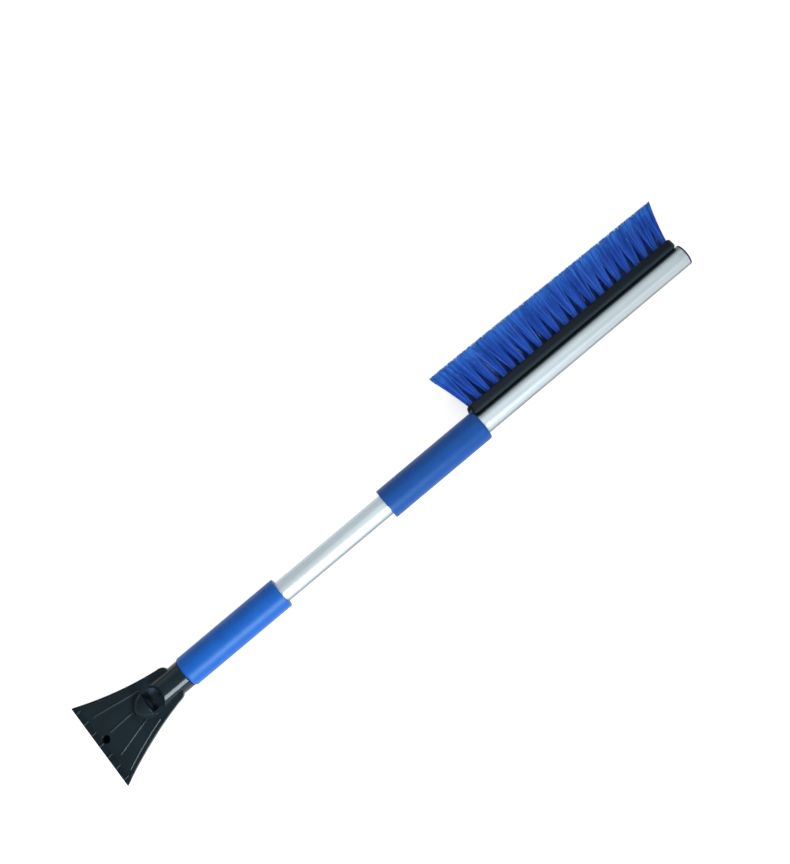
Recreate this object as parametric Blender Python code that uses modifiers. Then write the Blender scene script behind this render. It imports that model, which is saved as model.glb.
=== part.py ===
"""Snow broom: an ice scraper and a snow brush on one aluminium pole, in metres, +Z up.

The broom lies flat. The pole runs along +X from the scraper to the brush, the bristles point to +Y,
and the scraper's front face looks up. Every piece is placed in the pole's own frame, whose X axis is
the pole's axis and whose origin is in line with the scraper's edge. An empty holds that frame, so
that the whole object stands on Z = 0 with its box centred on X = 0 and Y = 0.
"""

import math

import bmesh
import bpy
from mathutils import Matrix, Vector

MM = 0.001
GAP = 0.3 * MM

# Pole and its two foam grips
POLE_RADIUS = 11.5 * MM
POLE_WALL = 1.0 * MM
POLE_START = 93.6 * MM
POLE_END = 764.7 * MM
GRIP_RADIUS = 16.65 * MM
GRIP_LENGTH = 125.0 * MM
GRIP_ROUNDING = 2.2 * MM
LOWER_GRIP_START = 115.9 * MM
UPPER_GRIP_START = 377.5 * MM
CAP_FLANGE = 1.5 * MM
CAP_PLUG_LENGTH = 12.0 * MM
CAP_WALL = 1.6 * MM

# Scraper head
EDGE_HALF_WIDTH = 49.5 * MM
FLANK_START_SLOPE = 0.445
FLANK_CURVE = 1.42  # per metre: half the rate at which the flank's slope eases
SHOULDER_START = 96.3 * MM
SHOULDER_LENGTH = 9.0 * MM
PLATE_TILT = math.radians(7.6)
PLATE_EDGE_HEIGHT = -4.5 * MM
PLATE_FLOOR = 2.4 * MM
PLATE_DEPTH = 4.0 * MM
FULL_DEPTH_FROM = 45.0 * MM
EDGE_BEVEL_LENGTH = 8.0 * MM
EDGE_BEVEL_DROP = 1.2 * MM
EDGE_THICKNESS = 1.2 * MM
WALL_THICKNESS = 3.0 * MM
SOCKET_RADIUS = 15.3 * MM
SOCKET_END = LOWER_GRIP_START - GAP
NOSE_TIP = 50.0 * MM
NOSE_TIP_RADIUS = 2.2 * MM
NOSE_END = 70.0 * MM
BORE_RADIUS = 11.8 * MM
BORE_START = 68.4 * MM
MOUTH_FOOT = 73.2 * MM
RIB_WIDTH = 0.9 * MM
RIB_HEIGHT = 0.8 * MM
RIB_ENDS = {
    "rib_upper": ((14.0 * MM, 26.8 * MM), (68.6 * MM, 15.7 * MM)),
    "rib_middle": ((19.0 * MM, 3.3 * MM), (53.0 * MM, 3.3 * MM)),
    "rib_lower": ((14.0 * MM, -21.0 * MM), (62.0 * MM, -10.3 * MM)),
}
FLANK_RIB_START = 13.0 * MM
FLANK_RIB_END = 69.5 * MM
FLANK_RIB_INSET = 4.6 * MM
TOOTH_PITCH = 13.85 * MM
TOOTH_SHIFT = -0.5 * MM
TOOTH_COUNT = 7
DIMPLE_X = 11.1 * MM
DIMPLE_Y = 1.1 * MM
DIMPLE_RADIUS = 4.6 * MM
DIMPLE_DEPTH = 2.2 * MM
SCRAPER_SCREW_X = 104.0 * MM

# Brush block and its bristle tufts
BLOCK_START = 499.5 * MM
BLOCK_END = 764.3 * MM
BLOCK_BOTTOM = 9.8 * MM
BLOCK_TOP = 20.5 * MM
BLOCK_HALF_WIDTH = 12.5 * MM
BLOCK_CORNER_RADIUS = 7.0 * MM
BLOCK_EDGE_RADIUS = 2.2 * MM
BLOCK_END_RADIUS = 4.5 * MM
BOW_UNDERSIDE = 17.2 * MM
BOW_LENGTH = 3.6 * MM
TUFT_COUNT = 23
ROW_OFFSET = 5.0 * MM
FIRST_ROOT = 506.2 * MM
LAST_ROOT = 758.0 * MM
ROOT_RADIUS = 2.9 * MM
ROOT_DEPTH = 3.0 * MM
FIRST_TIP_EDGE = 493.0 * MM
LAST_TIP_EDGE = 775.7 * MM
TIP_HEIGHT_START = 69.6 * MM
TIP_HEIGHT_END = 64.1 * MM
TIP_HALF_DEPTH = 9.5 * MM
TUFT_SIDES = 10
TUFT_RINGS = 4
BLOCK_SCREW_TUFTS = (3, 11, 19)

# Self-tapping screws that hold the scraper and the block to the pole
SCREW_SHANK_RADIUS = 1.4 * MM
SCREW_HEAD_RADIUS = 2.45 * MM
SCREW_HEAD_HEIGHT = 1.8 * MM
SCREW_LENGTH = 12.0 * MM
SCREW_SUNK = 0.2 * MM

OVERALL_LENGTH = LAST_TIP_EDGE
OVERALL_WIDTH = EDGE_HALF_WIDTH + TIP_HEIGHT_START
POLE_AXIS_AT = Vector((-OVERALL_LENGTH / 2, EDGE_HALF_WIDTH - OVERALL_WIDTH / 2, GRIP_RADIUS))
ROUND_STEPS = 48


def clear_scene():
    for obj in list(bpy.data.objects):
        bpy.data.objects.remove(obj, do_unlink=True)


def new_collection(name):
    collection = bpy.data.collections.new(name)
    bpy.context.scene.collection.children.link(collection)
    return collection


def material(name, red, green, blue, roughness, metallic=0.0):
    """A Principled material from an sRGB colour of 0 to 255."""
    made = bpy.data.materials.new(name)
    made.use_nodes = True
    shader = made.node_tree.nodes["Principled BSDF"]
    linear = [(value / 255) ** 2.2 for value in (red, green, blue)]
    shader.inputs["Base Color"].default_value = (*linear, 1.0)
    shader.inputs["Roughness"].default_value = roughness
    shader.inputs["Metallic"].default_value = metallic
    made.diffuse_color = (*linear, 1.0)
    return made


def baked(source, name):
    """A mesh object of what the source's curve or modifiers make, in place of the source."""
    bpy.context.view_layer.update()
    evaluated = source.evaluated_get(bpy.context.evaluated_depsgraph_get())
    mesh = bpy.data.meshes.new_from_object(evaluated)
    mesh.name = name
    made = bpy.data.objects.new(name, mesh)
    made.matrix_world = source.matrix_world
    bpy.context.scene.collection.objects.link(made)
    bpy.data.objects.remove(source, do_unlink=True)
    welder = bmesh.new()
    welder.from_mesh(mesh)
    bmesh.ops.remove_doubles(welder, verts=welder.verts, dist=1e-7)
    bmesh.ops.recalc_face_normals(welder, faces=welder.faces)
    welder.to_mesh(mesh)
    welder.free()
    mesh.shade_smooth()
    mesh.set_sharp_from_angle(angle=math.radians(35))
    return made


def turned(name, profile):
    """A profile of (along the axis, radius) points, turned about +X.

    A profile that doesn't start on the axis is closed into a ring.
    """
    mesh = bpy.data.meshes.new(name + "_profile")
    points = [(radius, 0.0, along) for along, radius in profile]
    edges = [(i, i + 1) for i in range(len(points) - 1)]
    if profile[0][1] > 0.0:
        edges.append((len(points) - 1, 0))
    mesh.from_pydata(points, edges, [])
    source = bpy.data.objects.new(name + "_profile", mesh)
    bpy.context.scene.collection.objects.link(source)
    screw = source.modifiers.new("turn", "SCREW")
    screw.axis = "Z"
    screw.steps = ROUND_STEPS
    screw.render_steps = ROUND_STEPS
    screw.use_merge_vertices = True
    screw.merge_threshold = 1e-6
    made = baked(source, name)
    made.matrix_world = Matrix.Rotation(math.radians(90), 4, "Y")
    return made


def prism(name, outline, low, high):
    """A flat outline in X and Y, extruded from low to high along Z."""
    curve = bpy.data.curves.new(name + "_outline", "CURVE")
    curve.dimensions = "2D"
    curve.fill_mode = "BOTH"
    curve.extrude = (high - low) / 2
    spline = curve.splines.new("POLY")
    spline.points.add(len(outline) - 1)
    for point, (x, y) in zip(spline.points, outline):
        point.co = (x, y, 0.0, 1.0)
    spline.use_cyclic_u = True
    source = bpy.data.objects.new(name + "_outline", curve)
    bpy.context.scene.collection.objects.link(source)
    made = baked(source, name)
    made.data.transform(Matrix.Translation((0.0, 0.0, (low + high) / 2)))
    return made


def side_prism(name, outline, half_width):
    """A flat outline in X and Z, extruded half_width to each side of Y = 0."""
    made = prism(name, outline, -half_width, half_width)
    made.data.transform(Matrix.Rotation(math.radians(90), 4, "X"))
    return made


def cylinder(name, start, direction, radius, length, sides=32):
    """A solid cylinder from the point start, length along direction."""
    mesh = bpy.data.meshes.new(name)
    builder = bmesh.new()
    bmesh.ops.create_cone(
        builder, cap_ends=True, segments=sides, radius1=radius, radius2=radius, depth=length
    )
    builder.to_mesh(mesh)
    builder.free()
    mesh.transform(Matrix.Translation((0.0, 0.0, length / 2)))
    mesh.transform(Vector(direction).to_track_quat("Z", "Y").to_matrix().to_4x4())
    mesh.transform(Matrix.Translation(start))
    mesh.shade_smooth()
    mesh.set_sharp_from_angle(angle=math.radians(35))
    made = bpy.data.objects.new(name, mesh)
    bpy.context.scene.collection.objects.link(made)
    return made


def boolean(target, tool, operation):
    """Joins, cuts or keeps the overlap of target with tool, which becomes a hidden helper.

    The exact solver leaves open edges on the scraper head and skips holes in the brush block, whose
    meshes and tools are all closed, so the manifold solver makes every cut.
    """
    modifier = target.modifiers.new(tool.name, "BOOLEAN")
    modifier.operation = operation
    modifier.solver = "MANIFOLD"
    modifier.object = tool
    hide_helper(tool)


def hide_helper(tool):
    tool.hide_render = True
    tool.display_type = "WIRE"
    for collection in list(tool.users_collection):
        collection.objects.unlink(tool)
    helpers.objects.link(tool)
    tool.parent = pole_axis


def add_part(obj, look):
    """Puts a finished piece in the object's collection, in the pole's frame."""
    for collection in list(obj.users_collection):
        collection.objects.unlink(obj)
    parts.objects.link(obj)
    obj.parent = pole_axis
    obj.data.materials.clear()
    obj.data.materials.append(look)
    return obj


def arc(centre_x, centre_y, radius, start_degrees, end_degrees, steps):
    """Points on an arc in a plane, both ends included."""
    angles = [start_degrees + (end_degrees - start_degrees) * i / steps for i in range(steps + 1)]
    return [
        (
            centre_x + radius * math.cos(math.radians(angle)),
            centre_y + radius * math.sin(math.radians(angle)),
        )
        for angle in angles
    ]


def rounded_rectangle(low_x, high_x, low_y, high_y, radius):
    """A rectangle's outline with rounded corners."""
    outline = arc(high_x - radius, high_y - radius, radius, 0, 90, 8)
    outline += arc(low_x + radius, high_y - radius, radius, 90, 180, 8)
    outline += arc(low_x + radius, low_y + radius, radius, 180, 270, 8)
    outline += arc(high_x - radius, low_y + radius, radius, 270, 360, 8)
    return outline


# ---------------------------------------------------------------- pole, grips and cap


def make_pole():
    inner = POLE_RADIUS - POLE_WALL
    profile = [
        (POLE_END, inner),
        (POLE_END, POLE_RADIUS),
        (POLE_START, POLE_RADIUS),
        (POLE_START, inner),
    ]
    pole = turned("pole_tube", profile)
    for number, tuft in enumerate(BLOCK_SCREW_TUFTS, 1):
        hole = cylinder(
            f"pole_hole_{number}",
            (block_screw_x(tuft), POLE_RADIUS - 4 * POLE_WALL, 0.0),
            (0, 1, 0),
            SCREW_SHANK_RADIUS + GAP,
            6 * POLE_WALL,
            sides=16,
        )
        boolean(pole, hole, "DIFFERENCE")
    hole = cylinder(
        "pole_hole_scraper",
        (SCRAPER_SCREW_X, 0.0, -POLE_RADIUS + 4 * POLE_WALL),
        (0, 0, -1),
        SCREW_SHANK_RADIUS + GAP,
        6 * POLE_WALL,
        sides=16,
    )
    boolean(pole, hole, "DIFFERENCE")
    return add_part(pole, aluminium)


def make_grip(name, start):
    """A foam sleeve with rounded outer rims."""
    inner = POLE_RADIUS + GAP
    end = start + GRIP_LENGTH
    rim = GRIP_ROUNDING
    profile = [(end, inner)]
    profile += arc(end - rim, GRIP_RADIUS - rim, rim, 0, 90, 4)
    profile += arc(start + rim, GRIP_RADIUS - rim, rim, 90, 180, 4)
    profile += [(start, inner)]
    return add_part(turned(name, profile), foam)


def make_end_cap():
    """A cup pressed into the pole's end, with a thin flange over the rim."""
    outer = POLE_RADIUS - POLE_WALL - GAP
    flange_start = POLE_END + GAP
    flange_end = flange_start + CAP_FLANGE
    rim = CAP_FLANGE / 2
    profile = [(flange_end, 0.0)]
    profile += arc(flange_end - rim, POLE_RADIUS - rim, rim, 0, 90, 3)
    profile += [
        (flange_start, POLE_RADIUS),
        (flange_start, outer),
        (flange_start - CAP_PLUG_LENGTH, outer),
        (flange_start - CAP_PLUG_LENGTH, outer - CAP_WALL),
        (flange_start, outer - CAP_WALL),
        (flange_start, 0.0),
    ]
    return add_part(turned("end_cap", profile), cap_plastic)


# ---------------------------------------------------------------- scraper head


def flank(x):
    """Half the scraper's width at x, measured along its tilted face."""
    return EDGE_HALF_WIDTH - FLANK_START_SLOPE * x + FLANK_CURVE * x * x


def flank_line(inset, start, end):
    """The upper flank as seen from the front, from start to end, moved in by inset."""
    steps = 14
    xs = [start + (end - start) * i / steps for i in range(steps + 1)]
    return [(x, flank(x) - inset) for x in xs]


def mirrored(upper):
    """A closed outline from its upper half, mirrored in Y = 0."""
    return upper + [(x, -y) for x, y in reversed(upper)]


def shoulder():
    """The rounded corner between the flank and the socket, as an upper half."""
    corner = flank(SHOULDER_START)
    drop = corner - SOCKET_RADIUS + 1.5 * MM
    points = []
    for i in range(1, 7):
        angle = math.radians(90 * i / 6)
        points.append(
            (SHOULDER_START + SHOULDER_LENGTH * math.sin(angle), corner - drop * (1 - math.cos(angle)))
        )
    return points


def in_plate(obj):
    """Moves a helper made in the plate's own frame, whose Z = 0 is its front face, to the pole's frame."""
    obj.data.transform(Matrix.Rotation(-PLATE_TILT, 4, "Y"))
    foremost = -EDGE_BEVEL_DROP * math.sin(PLATE_TILT)
    obj.data.transform(Matrix.Translation((foremost, 0.0, PLATE_EDGE_HEIGHT)))
    return obj


def plate_shape():
    """The tilted plate: bevelled edge, front panel and back walls, before the socket is added."""
    outline = mirrored(flank_line(0.0, 0.0, SHOULDER_START) + shoulder())
    plate = in_plate(prism("scraper_head", outline, -2 * PLATE_DEPTH, 2 * PLATE_DEPTH))
    far = SHOULDER_START + 2 * SHOULDER_LENGTH
    side = [
        (0.0, -EDGE_BEVEL_DROP),
        (EDGE_BEVEL_LENGTH, 0.0),
        (far, 0.0),
        (far, -PLATE_DEPTH),
        (FULL_DEPTH_FROM, -PLATE_DEPTH),
        (0.0, -EDGE_BEVEL_DROP - EDGE_THICKNESS),
    ]
    boolean(plate, in_plate(side_prism("plate_side_view", side, 2 * EDGE_HALF_WIDTH)), "INTERSECT")
    pocket = mirrored(flank_line(WALL_THICKNESS, 16 * MM, SHOULDER_START - WALL_THICKNESS))
    boolean(plate, in_plate(prism("plate_pocket", pocket, -3 * PLATE_DEPTH, -PLATE_FLOOR)), "DIFFERENCE")
    return plate


def rib_bar(name, start, end):
    """A straight rib on the plate's face between two (x, y) points."""
    length = math.dist(start, end)
    half = RIB_WIDTH / 2
    outline = [(0.0, -half), (length, -half), (length, half), (0.0, half)]
    bar = prism(name, outline, -1.0 * MM, RIB_HEIGHT)
    angle = math.atan2(end[1] - start[1], end[0] - start[0])
    bar.data.transform(Matrix.Rotation(angle, 4, "Z"))
    bar.data.transform(Matrix.Translation((start[0], start[1], 0.0)))
    return in_plate(bar)


def flank_rib():
    """A rib that follows the lower flank at a constant inset."""
    near = flank_line(FLANK_RIB_INSET, FLANK_RIB_START, FLANK_RIB_END)
    far = flank_line(FLANK_RIB_INSET + RIB_WIDTH, FLANK_RIB_START, FLANK_RIB_END)
    outline = [(x, -y) for x, y in near + far[::-1]]
    return in_plate(prism("rib_flank", outline, -1.0 * MM, RIB_HEIGHT))


def edge_tooth(name, y):
    """A short ridge across the bevelled strip, which breaks ice in front of the edge."""
    side = [
        (0.7 * MM, -EDGE_BEVEL_DROP - 0.5 * MM),
        (7.4 * MM, -0.9 * MM),
        (7.4 * MM, RIB_HEIGHT - 0.15 * MM),
        (0.7 * MM, RIB_HEIGHT - EDGE_BEVEL_DROP + 0.2 * MM),
    ]
    tooth = side_prism(name, side, RIB_WIDTH / 2)
    tooth.data.transform(Matrix.Translation((0.0, y, 0.0)))
    return in_plate(tooth)


def nose_profile():
    """The socket's blunt nose: one arc from the full socket radius to the nose's flat tip."""
    length = NOSE_END - NOSE_TIP
    narrowing = SOCKET_RADIUS - NOSE_TIP_RADIUS
    radius = (length**2 + narrowing**2) / (2 * narrowing)
    sweep = math.degrees(math.asin(length / radius))
    points = arc(NOSE_END, SOCKET_RADIUS - radius, radius, 90, 90 + sweep, 12)
    return points + [(NOSE_TIP, 0.0)]


def make_scraper():
    head = plate_shape()
    body = turned("socket_body", [(SOCKET_END, 0.0), (SOCKET_END, SOCKET_RADIUS)] + nose_profile())
    boolean(head, body, "UNION")
    for name, (start, end) in RIB_ENDS.items():
        boolean(head, rib_bar(name, start, end), "UNION")
    boolean(head, flank_rib(), "UNION")
    for number in range(TOOTH_COUNT):
        y = (number - (TOOTH_COUNT - 1) / 2) * TOOTH_PITCH + TOOTH_SHIFT
        boolean(head, edge_tooth(f"tooth_{number + 1}", y), "UNION")
    dimple = cylinder(
        "dimple", (DIMPLE_X, DIMPLE_Y, -DIMPLE_DEPTH), (0, 0, 1), DIMPLE_RADIUS, 4 * DIMPLE_DEPTH
    )
    boolean(head, in_plate(dimple), "DIFFERENCE")
    seat = cylinder(
        "pole_seat",
        (POLE_START - GAP, 0.0, 0.0),
        (1, 0, 0),
        POLE_RADIUS + GAP,
        SOCKET_END - POLE_START + 5 * MM,
        sides=ROUND_STEPS,
    )
    boolean(head, seat, "DIFFERENCE")
    bore = cylinder(
        "socket_bore",
        (BORE_START, 0.0, 0.0),
        (1, 0, 0),
        BORE_RADIUS,
        POLE_START - BORE_START + 1 * MM,
        sides=ROUND_STEPS,
    )
    boolean(head, bore, "DIFFERENCE")
    face = PLATE_EDGE_HEIGHT + MOUTH_FOOT * math.tan(PLATE_TILT) + 0.2 * MM
    top = SOCKET_RADIUS + 4 * MM
    mouth = side_prism(
        "socket_mouth",
        [(BORE_START, face), (MOUTH_FOOT + face, face), (MOUTH_FOOT + top, top), (BORE_START, top)],
        SOCKET_RADIUS + 0.4 * MM,
    )
    boolean(head, mouth, "DIFFERENCE")
    screw_hole = cylinder(
        "scraper_screw_hole",
        (SCRAPER_SCREW_X, 0.0, 0.0),
        (0, 0, -1),
        SCREW_SHANK_RADIUS + GAP,
        SOCKET_RADIUS + 5 * MM,
        sides=16,
    )
    boolean(head, screw_hole, "DIFFERENCE")
    sink = cylinder(
        "scraper_screw_sink",
        (SCRAPER_SCREW_X, 0.0, -SOCKET_RADIUS + SCREW_SUNK + SCREW_HEAD_HEIGHT + GAP),
        (0, 0, -1),
        SCREW_HEAD_RADIUS + GAP,
        5 * MM,
        sides=24,
    )
    boolean(head, sink, "DIFFERENCE")
    return add_part(head, scraper_plastic)


# ---------------------------------------------------------------- brush block and tufts


def tuft_pitch():
    return (LAST_ROOT - FIRST_ROOT) / (TUFT_COUNT - 1)


def block_screw_x(tuft):
    """Between two staggered tufts, a quarter pitch after the front one."""
    return FIRST_ROOT + (tuft + 0.25) * tuft_pitch()


def make_screw(name, seat, direction):
    """A countersunk self-tapping screw: seat is the middle of its head's flat top."""
    shank_end = -SCREW_LENGTH
    profile = [
        (0.0, 0.0),
        (0.0, SCREW_HEAD_RADIUS),
        (-SCREW_HEAD_HEIGHT, SCREW_HEAD_RADIUS * 0.85),
        (-SCREW_HEAD_HEIGHT, SCREW_SHANK_RADIUS),
        (shank_end + 2 * MM, SCREW_SHANK_RADIUS),
        (shank_end, 0.0),
    ]
    screw = turned(name, profile)
    turn = Vector((1, 0, 0)).rotation_difference(Vector(direction)).to_matrix().to_4x4()
    screw.matrix_world = Matrix.Translation(seat) @ turn @ screw.matrix_world
    slot = cylinder(
        name + "_drive",
        Vector(seat) - Vector(direction) * 1.0 * MM,
        direction,
        1.1 * MM,
        3 * MM,
        sides=6,
    )
    boolean(screw, slot, "DIFFERENCE")
    return add_part(screw, zinc)


def make_block():
    """The brush block: a bar with a saddle for the pole, rounded ends and a raised bow over the grip."""
    radius = BLOCK_END_RADIUS
    bow = BLOCK_START + BOW_LENGTH
    side = [
        (BLOCK_START + 0.2 * MM, BOW_UNDERSIDE),
        (UPPER_GRIP_START + GRIP_LENGTH + GAP, BOW_UNDERSIDE),
        (bow, BLOCK_BOTTOM),
    ]
    side += arc(BLOCK_END - radius, BLOCK_BOTTOM + radius, radius, -90, 0, 5)
    side += arc(BLOCK_END - radius, BLOCK_TOP - radius, radius, 0, 90, 5)[1:]
    side += arc(BLOCK_START + 2.4 * MM, BLOCK_TOP - 2.4 * MM, 2.4 * MM, 90, 180, 4)
    block = prism("brush_block", side, -BLOCK_HALF_WIDTH, BLOCK_HALF_WIDTH)
    width = BLOCK_HALF_WIDTH
    plan = rounded_rectangle(BLOCK_START, BLOCK_END, -width, width, BLOCK_CORNER_RADIUS)
    outline = prism("block_plan", plan, -30 * MM, 30 * MM)
    outline.data.transform(Matrix.Rotation(math.radians(90), 4, "X"))
    boolean(block, outline, "INTERSECT")
    section = rounded_rectangle(-width, width, BLOCK_BOTTOM, BLOCK_TOP, BLOCK_EDGE_RADIUS)
    bar = prism("block_section", section, BLOCK_START - 5 * MM, BLOCK_END + 5 * MM)
    bar.data.transform(Matrix.Rotation(math.radians(90), 4, "Y"))
    boolean(block, bar, "INTERSECT")
    saddle = cylinder(
        "block_saddle",
        (BLOCK_START - 20 * MM, 0.0, 0.0),
        (1, 0, 0),
        POLE_RADIUS + GAP,
        BLOCK_END - BLOCK_START + 40 * MM,
        sides=ROUND_STEPS,
    )
    boolean(block, saddle, "DIFFERENCE")
    for number, (x, z) in enumerate(tuft_roots(), 1):
        hole = cylinder(
            f"tuft_hole_{number}",
            (x, BLOCK_TOP - ROOT_DEPTH - GAP, z),
            (0, 1, 0),
            ROOT_RADIUS + GAP,
            ROOT_DEPTH + 3 * MM,
            sides=TUFT_SIDES,
        )
        boolean(block, hole, "DIFFERENCE")
    for number, tuft in enumerate(BLOCK_SCREW_TUFTS, 1):
        x = block_screw_x(tuft)
        shank = cylinder(
            f"block_hole_{number}", (x, 0.0, 0.0), (0, 1, 0), SCREW_SHANK_RADIUS + GAP, 40 * MM, sides=16
        )
        boolean(block, shank, "DIFFERENCE")
        sink = cylinder(
            f"block_sink_{number}",
            (x, BLOCK_TOP - SCREW_SUNK - SCREW_HEAD_HEIGHT - GAP, 0.0),
            (0, 1, 0),
            SCREW_HEAD_RADIUS + GAP,
            10 * MM,
            sides=24,
        )
        boolean(block, sink, "DIFFERENCE")
    return add_part(block, block_plastic)


def tuft_roots():
    """The (x, z) places of the tufts: a front row, and a back row half a pitch on."""
    front = [(FIRST_ROOT + i * tuft_pitch(), ROW_OFFSET) for i in range(TUFT_COUNT)]
    back = [(FIRST_ROOT + (i + 0.5) * tuft_pitch(), -ROW_OFFSET) for i in range(TUFT_COUNT - 1)]
    return front + back


def tip_height(x):
    """The trimmed tips' height over the pole's axis: the brush is trimmed a little shorter at its end."""
    share = (x - FIRST_TIP_EDGE) / (LAST_TIP_EDGE - FIRST_TIP_EDGE)
    return TIP_HEIGHT_START + (TIP_HEIGHT_END - TIP_HEIGHT_START) * share


def rounded_ring(low, high, near, far, height, squareness):
    """A ring of points between a round and a square outline, at one height."""
    ring = []
    for i in range(TUFT_SIDES):
        angle = 2 * math.pi * (i + 0.5) / TUFT_SIDES
        cosine, sine = math.cos(angle), math.sin(angle)
        stretch = 1 + squareness * (1 / max(abs(cosine), abs(sine)) - 1)
        x = (low + high) / 2 + (high - low) / 2 * cosine * stretch
        z = (near + far) / 2 + (far - near) / 2 * sine * stretch
        ring.append((x, height(x), z))
    return ring


def make_tuft(name, root_x, root_z, tip_low, tip_high, tip_near, tip_far):
    """A bundle of bristles: round in its hole, spreading to the space between its neighbours' tips."""
    rings = []
    for level in (BLOCK_TOP - ROOT_DEPTH, BLOCK_TOP):
        rings.append(
            rounded_ring(
                root_x - ROOT_RADIUS,
                root_x + ROOT_RADIUS,
                root_z - ROOT_RADIUS,
                root_z + ROOT_RADIUS,
                lambda x, level=level: level,
                0.0,
            )
        )
    for i in range(1, TUFT_RINGS):
        share = i / (TUFT_RINGS - 1)
        low = (root_x - ROOT_RADIUS) * (1 - share) + tip_low * share
        high = (root_x + ROOT_RADIUS) * (1 - share) + tip_high * share
        near = (root_z - ROOT_RADIUS) * (1 - share) + tip_near * share
        far = (root_z + ROOT_RADIUS) * (1 - share) + tip_far * share
        rings.append(
            rounded_ring(
                low,
                high,
                near,
                far,
                lambda x, share=share: BLOCK_TOP + (tip_height(x) - BLOCK_TOP) * share,
                share,
            )
        )
    return add_part(lofted(name, rings), bristle)


def lofted(name, rings):
    """A closed solid through rings of equal point counts, with a flat cap at each end."""
    mesh = bpy.data.meshes.new(name)
    builder = bmesh.new()
    rows = [[builder.verts.new(point) for point in ring] for ring in rings]
    for row, following in zip(rows, rows[1:]):
        for i in range(len(row)):
            j = (i + 1) % len(row)
            builder.faces.new((row[i], row[j], following[j], following[i]))
    builder.faces.new(rows[0])
    builder.faces.new(rows[-1][::-1])
    bmesh.ops.recalc_face_normals(builder, faces=builder.faces)
    builder.to_mesh(mesh)
    builder.free()
    mesh.shade_smooth()
    mesh.set_sharp_from_angle(angle=math.radians(50))
    made = bpy.data.objects.new(name, mesh)
    bpy.context.scene.collection.objects.link(made)
    return made


def make_tufts():
    roots = tuft_roots()
    span = LAST_TIP_EDGE - FIRST_TIP_EDGE
    rows = (("front", roots[:TUFT_COUNT], 1), ("back", roots[TUFT_COUNT:], -1))
    for label, row, side in rows:
        width = span / len(row)
        for number, (x, z) in enumerate(row):
            low = FIRST_TIP_EDGE + number * width
            high = low + width
            inner = GAP * side
            outer = TIP_HALF_DEPTH * side
            make_tuft(
                f"tuft_{label}_{number + 1:02d}",
                x,
                z,
                low + (0.0 if number == 0 else GAP),
                high - (0.0 if number == len(row) - 1 else GAP),
                min(inner, outer),
                max(inner, outer),
            )


clear_scene()
parts = new_collection("snow_broom")
helpers = new_collection("snow_broom_helpers")
pole_axis = bpy.data.objects.new("pole_axis", None)
pole_axis.location = POLE_AXIS_AT
parts.objects.link(pole_axis)

aluminium = material("satin_aluminium", 200, 214, 219, 0.35, 1.0)
foam = material("blue_foam", 44, 104, 192, 0.75)
cap_plastic = material("cap_plastic", 38, 22, 52, 0.4)
scraper_plastic = material("scraper_plastic", 33, 42, 47, 0.35)
block_plastic = material("block_plastic", 28, 36, 41, 0.4)
bristle = material("blue_bristle", 30, 84, 180, 0.55)
zinc = material("zinc_screw", 190, 192, 196, 0.35, 1.0)

make_pole()
make_grip("lower_grip", LOWER_GRIP_START)
make_grip("upper_grip", UPPER_GRIP_START)
make_end_cap()
make_scraper()
make_screw("scraper_screw", (SCRAPER_SCREW_X, 0.0, -SOCKET_RADIUS + SCREW_SUNK), (0, 0, -1))
make_block()
for screw_number, screw_tuft in enumerate(BLOCK_SCREW_TUFTS, 1):
    make_screw(
        f"block_screw_{screw_number}",
        (block_screw_x(screw_tuft), BLOCK_TOP - SCREW_SUNK, 0.0),
        (0, 1, 0),
    )
make_tufts()
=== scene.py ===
import math
import random
from collections import namedtuple

import bmesh
import bpy
import numpy as np
from mathutils import Matrix, Vector


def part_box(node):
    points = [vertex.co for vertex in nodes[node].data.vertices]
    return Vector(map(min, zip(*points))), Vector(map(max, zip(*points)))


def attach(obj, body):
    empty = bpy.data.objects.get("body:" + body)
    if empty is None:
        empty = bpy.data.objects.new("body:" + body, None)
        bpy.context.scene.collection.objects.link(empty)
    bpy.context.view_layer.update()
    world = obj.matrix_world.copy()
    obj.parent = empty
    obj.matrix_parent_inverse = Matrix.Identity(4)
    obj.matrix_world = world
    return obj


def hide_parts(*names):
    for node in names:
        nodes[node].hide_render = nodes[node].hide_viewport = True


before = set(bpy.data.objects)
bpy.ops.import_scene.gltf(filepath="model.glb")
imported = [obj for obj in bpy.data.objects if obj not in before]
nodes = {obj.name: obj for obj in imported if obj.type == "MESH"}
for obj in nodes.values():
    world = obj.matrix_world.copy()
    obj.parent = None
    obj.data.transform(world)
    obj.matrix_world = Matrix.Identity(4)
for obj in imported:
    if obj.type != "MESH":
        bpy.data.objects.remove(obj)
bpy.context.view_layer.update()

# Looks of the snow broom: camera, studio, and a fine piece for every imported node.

scene = bpy.context.scene
MM = 0.001

# ------------------------------------------------------------------ the frame's own sizes

tube_low, tube_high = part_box("pole_tube")
AXIS_Y = (tube_low.y + tube_high.y) / 2
AXIS_Z = (tube_low.z + tube_high.z) / 2
TUBE_RADIUS = (tube_high.z - tube_low.z) / 2
SCRAPER_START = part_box("scraper_head")[0].x
BLOCK_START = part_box("brush_block")[0].x
BLOCK_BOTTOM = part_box("brush_block")[0].y
FIRST_TUFT = "tuft_front_01"
LAST_TUFT = "tuft_front_23"

# ------------------------------------------------------------------ sizes of the pieces

TUBE_WALL = 1.0 * MM
TUBE_RIM = 0.25 * MM
TUBE_SIDES = 128
BLOCK_SHADOW_START = 2.0 * MM
BLOCK_SHADOW_END = 6.5 * MM

GRIP_CLEARANCE = 0.15 * MM
GRIP_OUTER_RIM = 2.6 * MM
GRIP_INNER_RIM = 0.7 * MM
GRIP_BORE_BEVEL = 0.6 * MM
GRIP_SIDES = 144
FOAM_SHADE_FROM = -140.0 * MM
FOAM_SHADE_TO = -10.0 * MM

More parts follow.
